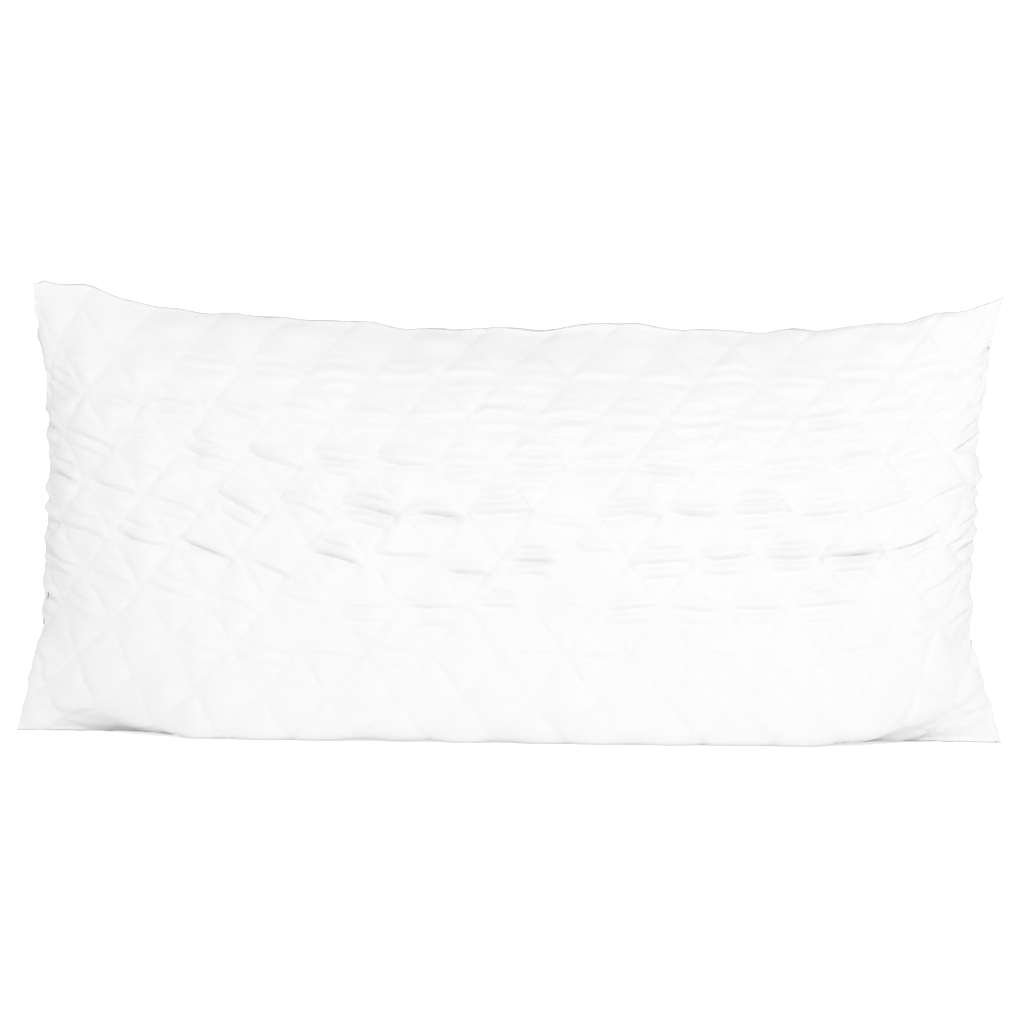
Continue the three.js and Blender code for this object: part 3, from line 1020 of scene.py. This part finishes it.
def bevelled_copy(name, node, width):
    """A copy of a CAD node's mesh, merged and with its flat faces made whole, then bevelled."""
    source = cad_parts[node]
    mesh = source.data.copy()
    mesh.transform(source.matrix_world)
    mesh.materials.clear()
    obj = bpy.data.objects.new(name, mesh)
    bpy.context.scene.collection.objects.link(obj)
    only(obj)
    bpy.ops.object.mode_set(mode="EDIT")
    bpy.ops.mesh.select_all(action="SELECT")
    bpy.ops.mesh.remove_doubles(threshold=0.00002)
    bpy.ops.mesh.dissolve_limited(angle_limit=math.radians(1))
    bpy.ops.mesh.normals_make_consistent(inside=False)
    bpy.ops.object.mode_set(mode="OBJECT")
    apply_modifier(
        obj, "BEVEL", width=width * MM, segments=3, limit_method="ANGLE",
        angle_limit=math.radians(40), harden_normals=False,
    )
    smooth(obj, 40)
    return obj


for side, name in ((-1, "front"), (1, "back")):
    woven_tape = tape(side)
    finish_piece(woven_tape, TAPE, "pillow", "zip_tape", f"zip_tape_{name}")
    finish_piece(coil(side), COIL, "pillow", "zip_coil", f"zip_coil_{name}")

# Each metal part, with its body and its bevel's width in mm.
for node, body, width in (
    ("zip_closed_stop_front", "pillow", 0.3),
    ("zip_closed_stop_back", "pillow", 0.3),
    ("zip_open_stop", "pillow", 0.3),
    ("zip_slider_body", "zip_slider", 0.22),
    ("zip_slider_crown", "zip_slider", 0.25),
    ("zip_pull_tab", "zip_pull", 0.2),
):
    piece = bevelled_copy(node.replace("zip_", "plated_"), node, width)
    finish_piece(piece, METAL, body, "zip_metal", node)

# ---- the care label

LABEL_LOW = 128.0
LABEL_HIGH = 168.0
LABEL_LONG = 74.0
LABEL_THICK = 0.25
LABEL_LIFT = 6


def care_label(panel):
    """A blank satin label out of the seam, lying over the quilting and lifting at its free end."""
    share = np.linspace(0, 1, 31)
    rows = np.linspace(LABEL_LOW, LABEL_HIGH, 17)
    u, v = np.meshgrid(-FLAT_HALF + LABEL_LONG * share, rows)
    tallest = -smallest_near(-panel.height, 14)[..., None]
    tallest = panel.sample(tallest, u.ravel(), v.ravel()).reshape(u.shape)
    tallest = softened(tallest, 6)
    free = np.broadcast_to(share, u.shape)
    wave = 0.8 * np.sin((v - LABEL_LOW) / 9 + 5 * free) * free
    height = 0.3 + (tallest + 0.9) * ramp(free, 0, 0.16) ** 0.8 + LABEL_LIFT * free**2.2 + wave
    points = pillow_shape(u, v, 1, depth=-height, rim=0.7)
    uv = np.stack([u.ravel() + FLAT_HALF, v.ravel()], 1)
    under = pillow_shape(u, v, 1, depth=LABEL_THICK - height, rim=0.5)
    obj = closed_sheet(
        "blank_care_label", points.reshape(-1, 3), under.reshape(-1, 3),
        len(share), len(rows), 1, np.concatenate([uv, uv]),
    )
    smooth(obj)
    return obj


label = care_label(panels[1])
finish_piece(label, LABEL, "pillow", "care_label", "care_label")

# ---- floor and light

AMBIENT = 0.765
SKY_SHINE = 1.2
FLOOR_RADIUS = 14
FLOOR_GLOW = 0.14
FLOOR_SHINE = 0.5
KEY_POWER = 28.5


def studio_floor():
    """A plain pale floor, which looks whiter than what it throws back at the pillow."""
    bpy.ops.mesh.primitive_circle_add(
        vertices=96, radius=FLOOR_RADIUS, fill_type="NGON", location=(0, 0, -0.0004),
    )
    floor = bpy.context.object
    floor.name = "studio_floor"
    bpy.ops.object.transform_apply(location=True)
    paper = Finish("studio_paper", Roughness=0.9)
    grain = paper.noise(paper.place(), 40, 3)
    paper.set("Base Color", paper.between(grain, (0.93, 0.93, 0.93), (0.96, 0.96, 0.96)))
    dim = FLOOR_GLOW / FLOOR_SHINE
    seen = paper.make("ShaderNodeLightPath")
    paper.set("Emission Color", paper.between(seen, (dim, dim, dim), (1, 1, 1)))
    paper.set("Emission Strength", FLOOR_SHINE)
    floor.data.materials.append(paper.material)


def soft_light(name, place, aim, size, power):
    """A square area light that faces what it aims at."""
    data = bpy.data.lights.new(name, "AREA")
    data.shape = "SQUARE"
    data.size = size
    data.energy = power
    light = bpy.data.objects.new(name, data)
    bpy.context.scene.collection.objects.link(light)
    light.location = place
    light.rotation_mode = "QUATERNION"
    light.rotation_quaternion = (Vector(aim) - Vector(place)).to_track_quat("-Z", "Y")


def studio_world():
    """White all round, and brighter where the camera sees it than where it lights."""
    world = bpy.data.worlds.new("studio")
    bpy.context.scene.world = world
    world.use_nodes = True
    nodes = world.node_tree.nodes
    links = world.node_tree.links
    lighting = nodes["Background"]
    lighting.inputs["Color"].default_value = (1, 1, 1, 1)
    lighting.inputs["Strength"].default_value = AMBIENT
    seen = nodes.new("ShaderNodeBackground")
    seen.inputs["Color"].default_value = (1, 1, 1, 1)
    seen.inputs["Strength"].default_value = SKY_SHINE
    choice = nodes.new("ShaderNodeMixShader")
    path = nodes.new("ShaderNodeLightPath")
    links.new(path.outputs["Is Camera Ray"], choice.inputs[0])
    links.new(lighting.outputs[0], choice.inputs[1])
    links.new(seen.outputs[0], choice.inputs[2])
    links.new(choice.outputs[0], nodes["World Output"].inputs["Surface"])


studio_floor()
studio_world()
soft_light("key", (0.8, -3.1, 1.7), (0, 0, 0.2), 0.4, KEY_POWER)
bpy.context.scene.view_settings.view_transform = "Standard"
